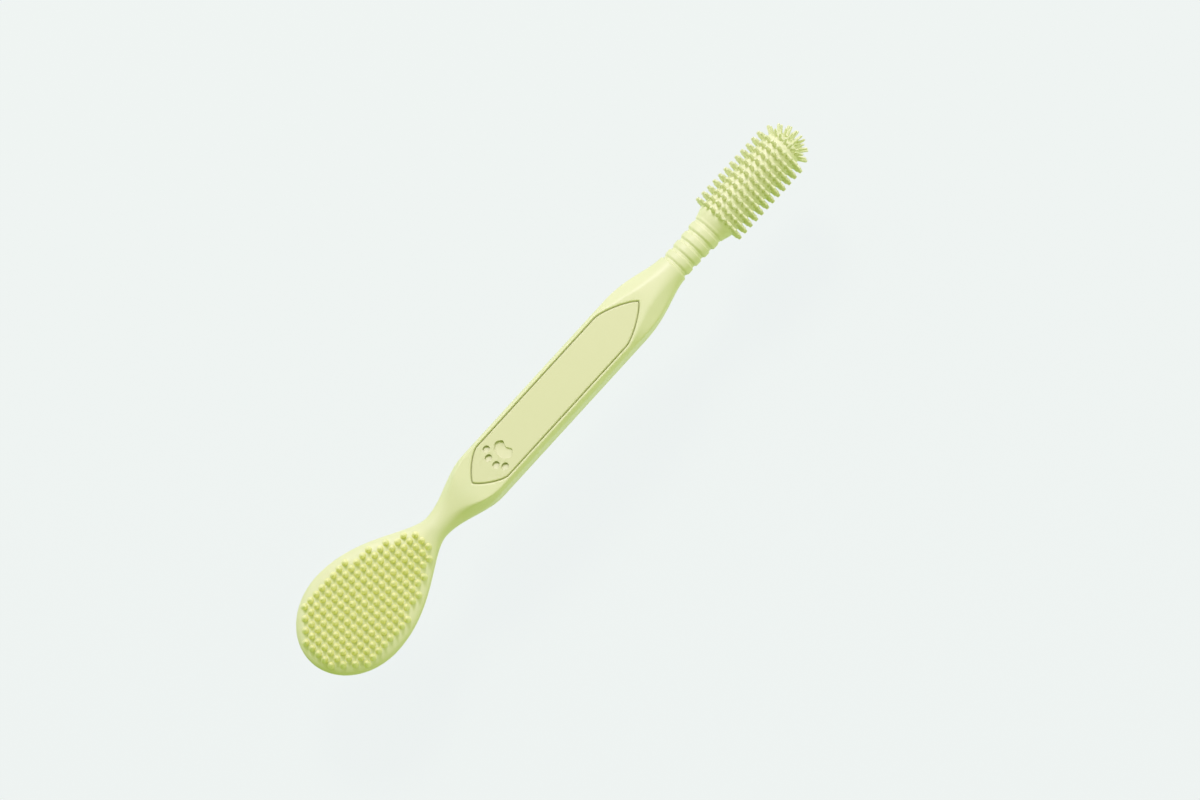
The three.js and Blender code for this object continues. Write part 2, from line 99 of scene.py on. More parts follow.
INLAY_HALF_WIDTH = 5.6
INLAY_THICKNESS = 1.2
PADDLE_OGIVE_LENGTH = 7.8
HEAD_OGIVE_LENGTH = 11.2
PADDLE_OGIVE_REACH = 2.2
HEAD_OGIVE_REACH = 5.35
OGIVE_STEPS = 31
EVEN_SHARE = 0.95  # of an ogive's curve that they cover, with one long step to its tip
FACE_LIP = 0.9  # that the front face keeps past the inlay's points

PAW_DISTANCE = 9.55
PAW_PAD_LENGTH = 3.7
PAW_PAD_WIDTH = 5.6
TOE_RADIUS = 0.9
TOE_STRETCH = 1.15
TOE_DISTANCE = 4.4
TOE_ANGLES = (-50, -18, 18, 50)

# How far the curves of the outline lead on level from their ends
PADDLE_LEAD = 14.9
SLIM_NECK_LEAD = 6
GRIP_START_LEAD = 5.5
GRIP_END_LEAD = 9.9
LAST_RIB_LEAD = 5.9

FACE_END_HALF = 1.5  # half of a flat face's width where it runs out in a round section

GRIP_END = GRIP_LENGTH / 2
SLIM_NECK_X = -GRIP_END - PADDLE_TAPER_LENGTH
PADDLE_WIDE_X = SLIM_NECK_X - PADDLE_SHOULDER_LENGTH
PADDLE_TIP_X = PADDLE_WIDE_X - PADDLE_TIP_LENGTH
GROOVES = [GRIP_END + HEAD_TAPER_LENGTH + index * RING_PITCH for index in range(RING_COUNT + 1)]
FIRST_ROW_X = GROOVES[-1] + COLLAR_LENGTH
DOME_X = FIRST_ROW_X + (BRISTLE_ROWS - 1) * BRISTLE_ROW_PITCH - DOME_SETBACK
INLAY_PADDLE_TIP_X = -GRIP_END - PADDLE_OGIVE_REACH
INLAY_HEAD_TIP_X = GRIP_END + HEAD_OGIVE_REACH
STATION_SHIFT = cad_box[0].x / MM - PADDLE_TIP_X  # from stations to the frame's x

# ---- Sizes of the finished surfaces ----

PADDLE_EDGE_THICKNESS = 2.15  # half thickness where the rounded edge ends
PADDLE_CROWN = 0.35  # rise from there to the middle
PADDLE_RIM = 3.6  # width of the rounded edge
FRONT_EDGE_SOFTNESS = 0.5  # of the edge between the front face and the shoulder
SIDE_EDGE_SOFTNESS = 0.6

GROOVE_GAP = 0.14  # between the inlay and the wall of its pocket
INLAY_CLEARANCE = 0.01  # between the inlay's wider foot and that wall
INLAY_FOOT_EDGE = 0.1  # of its slanted lower edge
POCKET_CLEARANCE = 0.25  # below the inlay
GROOVE_SLOPE = 0.3  # width of each side of the furrow between the inlay and the grip
GROOVE_DEPTH = 0.36  # of its sloped sides
GROOVE_FLOOR = 0.46  # depth of the inlay's foot, which fills the gap below
GROOVE_EDGE = 0.08  # by which its edges are rounded
PAW_DEPTH = 0.7  # of the recesses of the paw mark at their deep side
PAW_SLANT = 0.74  # share of it by which their floors rise towards the other side
PAW_DEEP_SIDE = 52  # turn from +X towards +Y to the deep side, in degrees
PAW_FOOT = [(-0.16, 0), (-0.08, 0.03), (-0.04, 0.1)]  # offset and height over the floor
PAW_LIP = [(0.01, -0.06), (0.03, -0.015), (0.07, 0), (0.09, 0.02), (0.09, 0.6)]  # over the face
PAW_LOBE_STEPS = 8
TOE_STEPS = 32

NUB_RADII = (0.96, 0.78, 0.28)  # at the root, above its flare and at the tip
NUB_SINK = 0.5  # of the root below the surface
NUB_SIDES = 16
BRISTLE_RADII = (0.72, 0.58, 0.38)
BRISTLE_SINK = 0.6
BRISTLE_SIDES = 14
BRISTLE_INSET = 0.03  # of the tips, which keeps them inside the solids' box

FOLD_BEFORE = 0.7  # from a rib's level top to the middle of the groove after it
FOLD_AFTER = 0.85  # and from there to the next rib's level top
FOLD_BOTTOM = 0.32  # half the width of a groove's bottom, which its bending needs
CREST_EDGE = 0.12  # by which the rib before a groove is rounded
SLOPE_EDGE = 0.22  # by which the rib after it is rounded
BALL_TURN = 13.5  # how far a ball reaches under the next rib, in degrees
SOCKET_TURN = 24  # how far the socket round it reaches, in degrees
SOCKET_GAP = 0.01  # between them
SEAM_MARGIN = 0.3  # from the start of the turned neck to the first groove's edge
SEAM_GAP = 0.002  # between that start and the handle's skin

COLLAR_LEVEL = 0.6  # length of the collar's nearly level start
COLLAR_RISE = 0.08  # of its radius there
COLLAR_FLARE = 1.3  # from the end of its slope to the first bristles
COLLAR_SWELL = 0.05  # of its radius on the way to them
COLLAR_EDGES = (0.3, 0.8)  # by which its slope is rounded at its ends

NECK_START = GROOVES[0] - FOLD_BEFORE - SEAM_MARGIN


def s_curve(x, start, end):
    """Height at x on a curve that is level at both ends, each given as (x, height, lead)."""
    (x0, y0, lead0), (x1, y1, lead1) = start, end
    u = np.linspace(0, 1, 300)
    early, late = 3 * u * (1 - u) ** 2, 3 * u**2 * (1 - u)
    xs = x0 * (1 - u) ** 3 + (x0 + lead0) * early + (x1 - lead1) * late + x1 * u**3
    ys = y0 + (y1 - y0) * (late + u**3)
    return float(np.interp(x, xs, ys))


def half_width(x):
    """Half width of the handle's outline, seen from the front."""
    slim_neck = (SLIM_NECK_X, SLIM_NECK_RADIUS, SLIM_NECK_LEAD)
    if x < PADDLE_WIDE_X:
        share = min(1, (PADDLE_WIDE_X - x) / PADDLE_TIP_LENGTH)
        return PADDLE_HALF_WIDTH * math.sqrt(1 - share**2)
    if x < SLIM_NECK_X:
        return s_curve(x, (PADDLE_WIDE_X, PADDLE_HALF_WIDTH, PADDLE_LEAD), slim_neck)
    if x < 0:
        return s_curve(x, slim_neck, (-GRIP_END, GRIP_HALF_WIDTH, GRIP_START_LEAD))
    last_rib = (GROOVES[0], LAST_RIB_RADIUS, LAST_RIB_LEAD)
    return s_curve(x, (GRIP_END, GRIP_HALF_WIDTH, GRIP_END_LEAD), last_rib)


def half_thickness(x):
    """Half thickness of the handle from the slim neck on, seen from the side."""
    slim_neck = (SLIM_NECK_X, SLIM_NECK_RADIUS, SLIM_NECK_LEAD)
    if x < 0:
        face_start = (INLAY_PADDLE_TIP_X - FACE_LIP, GRIP_HALF_THICKNESS, GRIP_START_LEAD)
        return s_curve(x, slim_neck, face_start)
    face_end = (INLAY_HEAD_TIP_X + FACE_LIP, GRIP_HALF_THICKNESS, 3)
    return s_curve(x, face_end, (GROOVES[0], LAST_RIB_RADIUS, 3))


def front_half(x):
    """Half width of the flat front face, up to its edges."""
    if x < 0:
        start = (SLIM_NECK_X, FACE_END_HALF, 7)
        return s_curve(x, start, (-GRIP_END + PADDLE_OGIVE_REACH, FRONT_HALF_WIDTH, 7))
    start = (INLAY_HEAD_TIP_X - HEAD_OGIVE_LENGTH, FRONT_HALF_WIDTH, 3)
    return s_curve(x, start, (GROOVES[0], FACE_END_HALF, 13))


def side_half(x):
    """Half height of the upright side face."""
    if x < 0:
        start = (-GRIP_END - PADDLE_TAPER_LENGTH / 3, FACE_END_HALF, 3)
        return s_curve(x, start, (-GRIP_END + PADDLE_OGIVE_REACH, SIDE_HALF_HEIGHT, 3))
    return s_curve(x, (GRIP_END, SIDE_HALF_HEIGHT, 3), (GROOVES[0], FACE_END_HALF, 6))


def roundness(x):
    """0 where the handle's section has flat faces, 1 where it is round."""
    if x < 0:
        return s_curve(x, (SLIM_NECK_X, 1, 7), (INLAY_PADDLE_TIP_X - FACE_LIP, 0, 4))
    return s_curve(x, (INLAY_HEAD_TIP_X - 5, 0, 9), (GROOVES[0], 1, 3))


# ---- Meshes ----


def new_object(name, vertices, faces, smooth_angle=40):
    """A mesh object from vertices in millimetres, with stations for x."""
    points = (np.asarray(vertices, float) + (STATION_SHIFT, 0, 0)) * MM
    mesh = bpy.data.meshes.new(name)
    mesh.from_pydata(points.tolist(), [], [list(map(int, face)) for face in faces])
    mesh.validate()
    obj = bpy.data.objects.new(name, mesh)
    bpy.context.scene.collection.objects.link(obj)
    smooth(obj, smooth_angle)
    return obj


def smooth(obj, angle):
    """Smooth shading, apart from edges sharper than an angle in degrees."""
    obj.data.shade_smooth()
    obj.data.set_sharp_from_angle(angle=math.radians(angle))


def apply_modifiers(obj):
    """Gives the object the mesh that its modifiers make, and removes them."""
    bpy.context.view_layer.update()
    evaluated = obj.evaluated_get(bpy.context.evaluated_depsgraph_get())
    mesh = bpy.data.meshes.new_from_object(evaluated)
    old, name = obj.data, obj.data.name
    obj.modifiers.clear()
    obj.data = mesh
    bpy.data.meshes.remove(old)
    mesh.name = name


def combine(obj, other, operation):
    """Joins another solid to this one, or cuts it away, and removes the other."""
    modifier = obj.modifiers.new(operation, "BOOLEAN")
    modifier.operation = operation
    modifier.solver = "MANIFOLD"
    modifier.object = other
    apply_modifiers(obj)
    bpy.data.objects.remove(other)
    return obj


def even_normals(obj, angle):
    """Smooth shading that keeps flat faces flat beside their rounded edges."""
    smooth(obj, angle)
    modifier = obj.modifiers.new("normals", "WEIGHTED_NORMAL")
    modifier.keep_sharp = True
    apply_modifiers(obj)


def skin(first, rings, last):
    """Vertices and faces of a tube through rings of points, closed by a point at each end."""
    around = len(rings[0])
    vertices = [first, *[point for ring in rings for point in ring], last]
    end = len(vertices) - 1
    faces = []
    for i in range(around):
        after = (i + 1) % around
        faces.append((0, 1 + after, 1 + i))
        for r in range(len(rings) - 1):
            low, high = 1 + r * around, 1 + (r + 1) * around
            faces.append((low + i, low + after, high + after, high + i))
        low = 1 + (len(rings) - 1) * around
        faces.append((low + i, low + after, end))
    return vertices, faces


TURNED_SIDES = 112


def around_axis(profile):
    """Rings round the brush's axis from (station, radius)."""
    angles = np.arange(TURNED_SIDES) * 2 * math.pi / TURNED_SIDES
    return [
        [(x, radius * math.cos(angle), radius * math.sin(angle)) for angle in angles]
        for x, radius in profile
    ]


def turned(profile):
    """A solid turned round the brush's axis from (station, radius), between two axis points."""
    return skin((profile[0][0], 0, 0), around_axis(profile[1:-1]), (profile[-1][0], 0, 0))


def rounded(corners, steps=6):
    """A path through corners (a, b, reach), each rounded over its reach to both sides."""
    path = []
    for i, (a, b, reach) in enumerate(corners):
        here = np.array((a, b), float)
        if reach == 0 or i in (0, len(corners) - 1):
            path.append(tuple(here))
            continue
        before = np.array(corners[i - 1][:2], float) - here
        after = np.array(corners[i + 1][:2], float) - here
        start = here + before * min(0.5, reach / np.linalg.norm(before))
        end = here + after * min(0.5, reach / np.linalg.norm(after))
        for u in np.linspace(0, 1, steps + 1):
            path.append(tuple(start * (1 - u) ** 2 + here * 2 * u * (1 - u) + end * u**2))
    return path


def stacked(outline, levels):
    """A solid whose outline is offset outwards by the given amount at each height z."""
    rings = [[(x, y, z) for x, y in offset(outline, amount)] for amount, z in levels]
    middle = np.mean(outline, axis=0)
    return skin((*middle, levels[0][1]), rings, (*middle, levels[-1][1]))


def offset(outline, amount):
    """The anticlockwise outline moved outwards by an amount."""
    points = np.asarray(outline, float)
    edges = np.roll(points, -1, axis=0) - points
    edges /= np.linalg.norm(edges, axis=1)[:, None]
    normals = np.stack([edges[:, 1], -edges[:, 0]], axis=1)
    before = np.roll(normals, 1, axis=0)
    mitre = (before + normals) / (1 + np.sum(before * normals, axis=1))[:, None]
    return points + mitre * amount


def scattered(template, places):
    """Copies of a template's vertices and faces, each moved by a 4 x 4 matrix."""
    vertices, faces = template
    base = np.c_[np.asarray(vertices, float), np.ones(len(vertices))]
    points = np.concatenate([(base @ place.T)[:, :3] for place in places])
    count = len(vertices)
    many = [tuple(i + count * copy for i in face) for copy in range(len(places)) for face in faces]
    return points, many


def peg(radii, height, sink, sides):
    """A bristle or nub up +Z from the origin: a flared root sunk below it and a round tip."""
    root_radius, waist_radius, tip_radius = radii
    flare = root_radius - waist_radius
    path = rounded([
        (root_radius + flare, -sink, 0),
        (root_radius, 0, flare),
        (waist_radius, 2 * flare, flare),
        (tip_radius, height, 0.85 * tip_radius),
        (0, height, 0),
    ], steps=4)
    angles = np.arange(sides) * 2 * math.pi / sides
    rings = [
        [(radius * math.cos(angle), radius * math.sin(angle), z) for angle in angles]
        for radius, z in path[:-1]
    ]
    return skin((0, 0, -sink), rings, (0, 0, height))


# ---- The handle ----

QUARTER = 28  # faces in a quarter of the handle's section
TIP_SECTIONS = 44
PADDLE_STEP = 0.6  # between sections
TAPER_STEP = 0.4
GRIP_STEP = 1.0
SHARP_EDGE = 38  # degrees from which an edge of the handle or the panel isn't smoothed


def facet_quarter(x):
    """Points from the middle of the side face, over the shoulder, to the middle of the front face,
    and the share of the way at each."""
    width, thickness = half_width(x), half_thickness(x)
    path = np.array(rounded([
        (width, 0, 0),
        (width, side_half(x), SIDE_EDGE_SOFTNESS),
        (front_half(x), thickness, FRONT_EDGE_SOFTNESS),
        (0, thickness, 0),
    ], steps=12))
    along = np.r_[0, np.cumsum(np.linalg.norm(np.diff(path, axis=0), axis=1))]
    # Half of the points lie evenly along the path, half crowd into its rounded edges.
    share = 0.5 * along / along[-1] + 0.5 * np.arange(len(path)) / (len(path) - 1)
    wanted = np.linspace(0, 1, QUARTER + 1)
    return np.stack([np.interp(wanted, share, path[:, k]) for k in (0, 1)], axis=1), wanted


def handle_quarter(x):
    """A quarter of a section past the paddle, between facets and an ellipse."""
    facets, share = facet_quarter(x)
    angles = share * math.pi / 2
    ellipse = np.stack([half_width(x) * np.cos(angles), half_thickness(x) * np.sin(angles)], axis=1)
    blend = roundness(x)
    return facets * (1 - blend) + ellipse * blend


def outline_samples():
    """Points on the paddle's outline, close enough together to measure distances from."""
    angles = np.linspace(0, math.pi / 2, 500)
    stations = np.r_[
        PADDLE_WIDE_X - PADDLE_TIP_LENGTH * np.cos(angles),
        np.linspace(PADDLE_WIDE_X, SLIM_NECK_X + 4, 900)[1:],
    ]
    return np.array([(x, half_width(x)) for x in stations])


PADDLE_OUTLINE = outline_samples()


def paddle_height(x, y):
    """Height of the paddle's front surface over its middle plane."""
    edge = np.min(np.hypot(PADDLE_OUTLINE[:, 0] - x, PADDLE_OUTLINE[:, 1] - abs(y)))
    share = min(1, edge / PADDLE_RIM)
    rise = math.sqrt(max(0, 1 - (1 - share) ** 2))
    width = max(half_width(x), 1e-6)
    crown = PADDLE_CROWN * (1 - min(1, abs(y) / width) ** 2) * share
    flat = PADDLE_EDGE_THICKNESS * rise + crown
    neck = SLIM_NECK_RADIUS * math.sqrt(max(0, 1 - (y / width) ** 2))
    start = (PADDLE_WIDE_X + PADDLE_FLAT_LENGTH, 0, 7)
    thickening = s_curve(x, start, (SLIM_NECK_X, 1, SLIM_NECK_LEAD))
    return flat + (neck - flat) * thickening


def paddle_quarter(x):
    """A quarter of the paddle's section."""
    width = half_width(x)
    ys = width * np.cos(np.linspace(0, math.pi / 2, QUARTER + 1))
    heights = [0, *[paddle_height(x, y) for y in ys[1:]]]
    return np.stack([ys, heights], axis=1)


def whole_section(x, quarter):
    """A closed section from its quarter between +Y and +Z, turning from +Y towards +Z."""
    rising, falling = quarter[:-1], quarter[:0:-1]
    corners = [(1, 1, rising), (-1, 1, falling), (-1, -1, rising), (1, -1, falling)]
    return [(x, sy * y, sz * z) for sy, sz, part in corners for y, z in part]


def groove_radius(index):
    """Radius of the neck at the bottom of a groove."""
    return NECK_RADIUS + NECK_FLARE * (index / RING_COUNT) ** 3


def paddle_stations():
    """Stations of the paddle's sections, closer together towards its tip."""
    angles = np.linspace(0, math.pi / 2, TIP_SECTIONS)[1:-1]
    tip = PADDLE_WIDE_X - PADDLE_TIP_LENGTH * np.cos(angles)
    return [*tip, *np.arange(PADDLE_WIDE_X, SLIM_NECK_X, PADDLE_STEP)]


def grip_stations():
    """Stations of the sections from the slim neck to the ribs, wider apart in the straight grip."""
    straight_start, straight_end = -GRIP_END + 4, GRIP_END - 8
    return [
        *np.arange(SLIM_NECK_X, straight_start, TAPER_STEP),
        *np.arange(straight_start, straight_end, GRIP_STEP),
        *np.arange(straight_end, NECK_START - 0.1, TAPER_STEP),
        NECK_START,
    ]


def make_handle_skin():
    """The skin of the paddle, the slim neck and the grip in one piece."""
    sections = [whole_section(x, paddle_quarter(x)) for x in paddle_stations()]
    sections += [whole_section(x, handle_quarter(x)) for x in grip_stations()]
    vertices, faces = skin((PADDLE_TIP_X, 0, 0), sections, (NECK_START, 0, 0))
    obj = new_object("handle_skin", vertices, faces)
    combine(obj, make_pocket_cutter(), "DIFFERENCE")
    even_normals(obj, SHARP_EDGE)
    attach(obj, "handle")
    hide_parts("handle_body")
    return obj


# ---- The inlaid panel ----


def ogive(tip_x, length):
    """Half of a pointed end of the panel, from its full width to the tip."""
    side = math.copysign(1, tip_x)
    start = tip_x - side * length
    # The four control points of its curve
    corners = [
        (start, INLAY_HALF_WIDTH),
        (start + side * length * 0.25, INLAY_HALF_WIDTH),
        (tip_x - side * length * 0.13, INLAY_HALF_WIDTH * 0.36),
        (tip_x, 0),
    ]
    # The tip stays clear of its neighbours, so that the outline can move inwards there.
    u = np.append(np.linspace(0, EVEN_SHARE, OGIVE_STEPS), 1)[:, None]
    weights = [(1 - u) ** 3, 3 * u * (1 - u) ** 2, 3 * u**2 * (1 - u), u**3]
    return sum(weight * np.array(corner) for weight, corner in zip(weights, corners))


def inlay_outline():
    """The panel's outline, anticlockwise from its straight lower edge."""
    head = ogive(INLAY_HEAD_TIP_X, HEAD_OGIVE_LENGTH)
    paddle = ogive(INLAY_PADDLE_TIP_X, PADDLE_OGIVE_LENGTH)
    mirror = np.array((1, -1))
    return np.concatenate([head * mirror, head[-2::-1], paddle, (paddle * mirror)[-2::-1]])


def furrow_side(outwards):
    """One side of the furrow round the inlay as (offset, z), from its bottom to the face."""
    top = GRIP_HALF_THICKNESS
    path = rounded([
        (0, top - GROOVE_FLOOR, 0),
        (0, top - GROOVE_DEPTH, GROOVE_EDGE),
        (GROOVE_SLOPE, top, 2 * GROOVE_EDGE),
        (GROOVE_SLOPE + 0.4, top, 0),
    ])
    return [(outwards * across, z) for across, z in path[:-1]]


def make_pocket_cutter():
    """The pocket of the panel, with a sloped mouth."""
    top = GRIP_HALF_THICKNESS
    side = [(GROOVE_GAP + across, z) for across, z in furrow_side(1)]
    last = side[-1][0]
    levels = [
        (GROOVE_GAP, top - INLAY_THICKNESS - POCKET_CLEARANCE), *side,
        (last + 0.1, top + 0.02), (last + 0.1, top + 1),
    ]
    return new_object("pocket", *stacked(inlay_outline(), levels))


def paw_outlines():
    """A plain paw mark: a lobed main pad and four toes on an arc towards the paddle."""
    pad_x = -GRIP_END + PAW_DISTANCE
    length, width = PAW_PAD_LENGTH / 2, PAW_PAD_WIDTH / 2
    corners = [
        (-length, 0), (-0.8 * length, -0.6 * width), (0.1 * length, -width),
        (0.95 * length, -0.6 * width), (0.6 * length, 0), (0.95 * length, 0.6 * width),
        (0.1 * length, width), (-0.8 * length, 0.6 * width),
    ]
    pad = closed_curve([(pad_x + x, y) for x, y in corners], PAW_LOBE_STEPS)
    toes = []
    for degrees in TOE_ANGLES:
        angle = math.radians(degrees)
        x, y = pad_x - TOE_DISTANCE * math.cos(angle), TOE_DISTANCE * math.sin(angle)
        turn = np.arange(TOE_STEPS) * 2 * math.pi / TOE_STEPS
        toes.append(np.stack([
            x + TOE_RADIUS * TOE_STRETCH * np.cos(turn),
            y + TOE_RADIUS * np.sin(turn),
        ], axis=1))
    return [pad, *toes]


def closed_curve(corners, steps):
    """A smooth closed curve through the corners."""
    points = np.array(corners, float)
    p0, p1 = np.roll(points, 1, axis=0), points
    p2, p3 = np.roll(points, -1, axis=0), np.roll(points, -2, axis=0)
    u = (np.arange(steps) / steps)[None, :, None]
    p0, p1, p2, p3 = (p[:, None, :] for p in (p0, p1, p2, p3))
    curve = p1 + 0.5 * u * (p2 - p0 + u * (2 * p0 - 5 * p1 + 4 * p2 - p3
                                           + u * (3 * (p1 - p2) + p3 - p0)))
    return curve.reshape(-1, 2)


def make_recess(outline):
    """One scooped recess of the paw mark, with a steep wall at its deep side."""
    top = GRIP_HALF_THICKNESS
    levels = [(across, top - PAW_DEPTH + height) for across, height in PAW_FOOT]
    levels += [(across, top + height) for across, height in PAW_LIP]
    vertices, faces = stacked(outline, levels)
    points = np.array(vertices, float)
    angle = math.radians(PAW_DEEP_SIDE)
    along = points[:, :2] @ (math.cos(angle), math.sin(angle))
    share = (along.max() - along) / (along.max() - along.min())
    below = points[:, 2] < top
    points[below, 2] = top - (top - points[below, 2]) * (1 - PAW_SLANT * share[below])
    return new_object("recess", points, faces)


def make_panel():
    """The inlaid panel with the paw mark in it."""
    top, bottom = GRIP_HALF_THICKNESS, GRIP_HALF_THICKNESS - INLAY_THICKNESS
    foot = GROOVE_GAP - INLAY_CLEARANCE
    levels = [
        (foot - INLAY_FOOT_EDGE, bottom), (foot, bottom + INLAY_FOOT_EDGE),
        (foot, top - GROOVE_FLOOR - 0.02), *furrow_side(-1),
    ]
    panel = new_object("inlaid_panel", *stacked(inlay_outline(), levels))
    for outline in paw_outlines():
        combine(panel, make_recess(outline), "DIFFERENCE")
    even_normals(panel, SHARP_EDGE)
    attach(panel, "handle")
    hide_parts("front_inlay")
    return panel


# ---- The nubs of the paddle ----


def nub_places():
    """The matrix of each nub, in straight rows and columns over the paddle's front."""
    places = []
    for column in range(NUB_COLUMNS):
        x = PADDLE_TIP_X + NUB_TIP_MARGIN + column * NUB_PITCH
        rows = math.floor((half_width(x) - NUB_EDGE_MARGIN) / NUB_PITCH)
        for row in range(-rows, rows + 1):
            y = row * NUB_PITCH
            places.append(np.array(Matrix.Translation((x, y, paddle_height(x, y)))))
    return places


def make_nubs():
    """All nubs, sunk into the paddle's skin."""
    nub = peg(NUB_RADII, NUB_HEIGHT, NUB_SINK, NUB_SIDES)
    obj = new_object("paddle_nubs", *scattered(nub, nub_places()), smooth_angle=60)
    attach(obj, "handle")
    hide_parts("paddle_nub_pad")
    return obj


# ---- The ribbed neck ----


def rib_radius(index):
    """Radius of a rib's level top; rib 0 is the handle's last, the last one the collar's."""
    if index == 0:
        return LAST_RIB_RADIUS
    if index > RING_COUNT:
        return groove_radius(RING_COUNT) + RING_CREST
    return (groove_radius(index - 1) + groove_radius(index)) / 2 + RING_CREST


def on_sphere(index, radius, first, last):
    """An arc round a groove's centre as (station, radius), between two turns in radians."""
    return [
        (GROOVES[index] + radius * math.sin(turn), radius * math.cos(turn))
        for turn in np.linspace(first, last, 12)
    ]


def ball(index):
    """The end of a piece in the groove after it: the groove's bottom, round like a ball."""
    radius = groove_radius(index)
    arc = on_sphere(index, radius, -math.asin(FOLD_BOTTOM / radius), math.radians(BALL_TURN))
    return [*arc, (arc[-1][0], 0)]


def socket(index):
    """The start of a piece in the groove before it: a hollow that holds the ball."""
    radius = groove_radius(index) + SOCKET_GAP
    arc = on_sphere(index, radius, math.radians(SOCKET_TURN), math.asin(FOLD_BOTTOM / radius))
    return [(arc[0][0], 0), *arc]


def make_rib(index):
    """A rib of the neck, from the groove before it to the ball in the groove after it."""
    top = rib_radius(index)
    if index == 0:
        start = [(NECK_START + SEAM_GAP, 0)]
        corners = [(NECK_START + SEAM_GAP, half_width(NECK_START), 0)]
    else:
        *start, rim = socket(index - 1)
        corners = [(*rim, 0), (GROOVES[index - 1] + FOLD_AFTER, top, SLOPE_EDGE)]
    foot, *end = ball(index)
    corners += [(GROOVES[index] - FOLD_BEFORE, top, CREST_EDGE), (*foot, 0)]
    outside = rounded(corners, steps=5)
    obj = new_object(f"neck_rib_{index}", *turned([*start, *outside, *end]))
    if index == 0:
        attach(obj, "handle")
    else:
        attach(obj, f"ring_{index}")
        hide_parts(f"neck_ring_{index}")
    return obj


# ---- The bristled finger ----


def make_finger():
    """The finger with its collar, its dome and all its bristles."""
    top, collar_x = rib_radius(RING_COUNT + 1), GROOVES[-1] + FOLD_AFTER
    *start, rim = socket(RING_COUNT)
    outside = rounded([
        (*rim, 0),
        (collar_x, top, SLOPE_EDGE),
        (collar_x + COLLAR_LEVEL, top + COLLAR_RISE, COLLAR_EDGES[0]),
        (FIRST_ROW_X - COLLAR_FLARE, SLEEVE_RADIUS - COLLAR_SWELL, COLLAR_EDGES[1]),
        (FIRST_ROW_X, SLEEVE_RADIUS, 0),
    ])
    length = DOME_X - FIRST_ROW_X
    sleeve = [(FIRST_ROW_X + share * length, SLEEVE_RADIUS) for share in np.linspace(0.1, 0.9, 9)]
    dome = [
        (DOME_X + SLEEVE_RADIUS * math.sin(angle), SLEEVE_RADIUS * math.cos(angle))
        for angle in np.linspace(0, math.pi / 2, 24, endpoint=False)
    ]
    profile = [*start, *outside, *sleeve, *dome, (DOME_X + SLEEVE_RADIUS, 0)]
    obj = new_object("bristled_finger", *turned(profile))
    combine(obj, make_bristles(), "UNION")
    smooth(obj, 50)
    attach(obj, "finger")
    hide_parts("finger_sleeve")
    return obj


def bristle_place(x, around, tilt, thinness=1.0):
    """A bristle's matrix: up the finger's side at an angle round it, tilted towards its tip."""
    turn = Matrix.Rotation(around, 4, "X") @ Matrix.Rotation(tilt, 4, "Y")
    thin = Matrix.Diagonal((thinness, thinness, 1, 1))
    place = Matrix.Translation((x, 0, 0)) @ turn @ Matrix.Translation((0, 0, SLEEVE_RADIUS)) @ thin
    return np.array(place)


def make_bristles():
    """All bristles: straight rows along the finger and rings of them on its dome."""
    places = []
    for row in range(BRISTLE_ROWS):
        x = FIRST_ROW_X + row * BRISTLE_ROW_PITCH
        for i in range(BRISTLES_AROUND):
            places.append(bristle_place(x, 2 * math.pi * i / BRISTLES_AROUND, 0))
    for degrees, count in DOME_ROWS:
        for i in range(count):
            around = 2 * math.pi * i / count
            places.append(bristle_place(DOME_X, around, math.radians(degrees), DOME_THINNESS))
    places.append(bristle_place(DOME_X, 0, math.pi / 2, DOME_THINNESS))
    bristle = peg(BRISTLE_RADII, BRISTLE_LENGTH - BRISTLE_INSET, BRISTLE_SINK, BRISTLE_SIDES)
    return new_object("bristles", *scattered(bristle, places))


# ---- Materials ----


class Nodes:
    """A short way to write a material's node tree."""

    def __init__(self, name, owner=None):
        self.owner = owner or bpy.data.materials.new(name)
        self.owner.use_nodes = True
        self.tree = self.owner.node_tree
        self.tree.nodes.clear()

    def add(self, kind, inputs=None, **settings):
        node = self.tree.nodes.new(kind)
        for key, value in settings.items():
            setattr(node, key, value)
        for key, value in (inputs or {}).items():
            if isinstance(value, bpy.types.NodeSocket):
                self.tree.links.new(value, node.inputs[key])
            else:
                node.inputs[key].default_value = value
        return node


def srgb(red, green, blue):
    """A linear colour from one in 0..255 as it is seen."""
    def linear(value):
        share = value / 255
        return share / 12.92 if share <= 0.04045 else ((share + 0.055) / 1.055) ** 2.4
    return (linear(red), linear(green), linear(blue), 1)


CLOUD_SCALE = 140  # of the noise, to a metre
GRAIN_SCALE = 2400
GRAIN_HEIGHT = 0.03
PAINTED_SHADE_REACH = 1.6  # how far away a wall still darkens a place with painted shade
FULL_PAINTED_SHADE_BELOW = 0.2  # share of open space below which a place gets the full painted shade
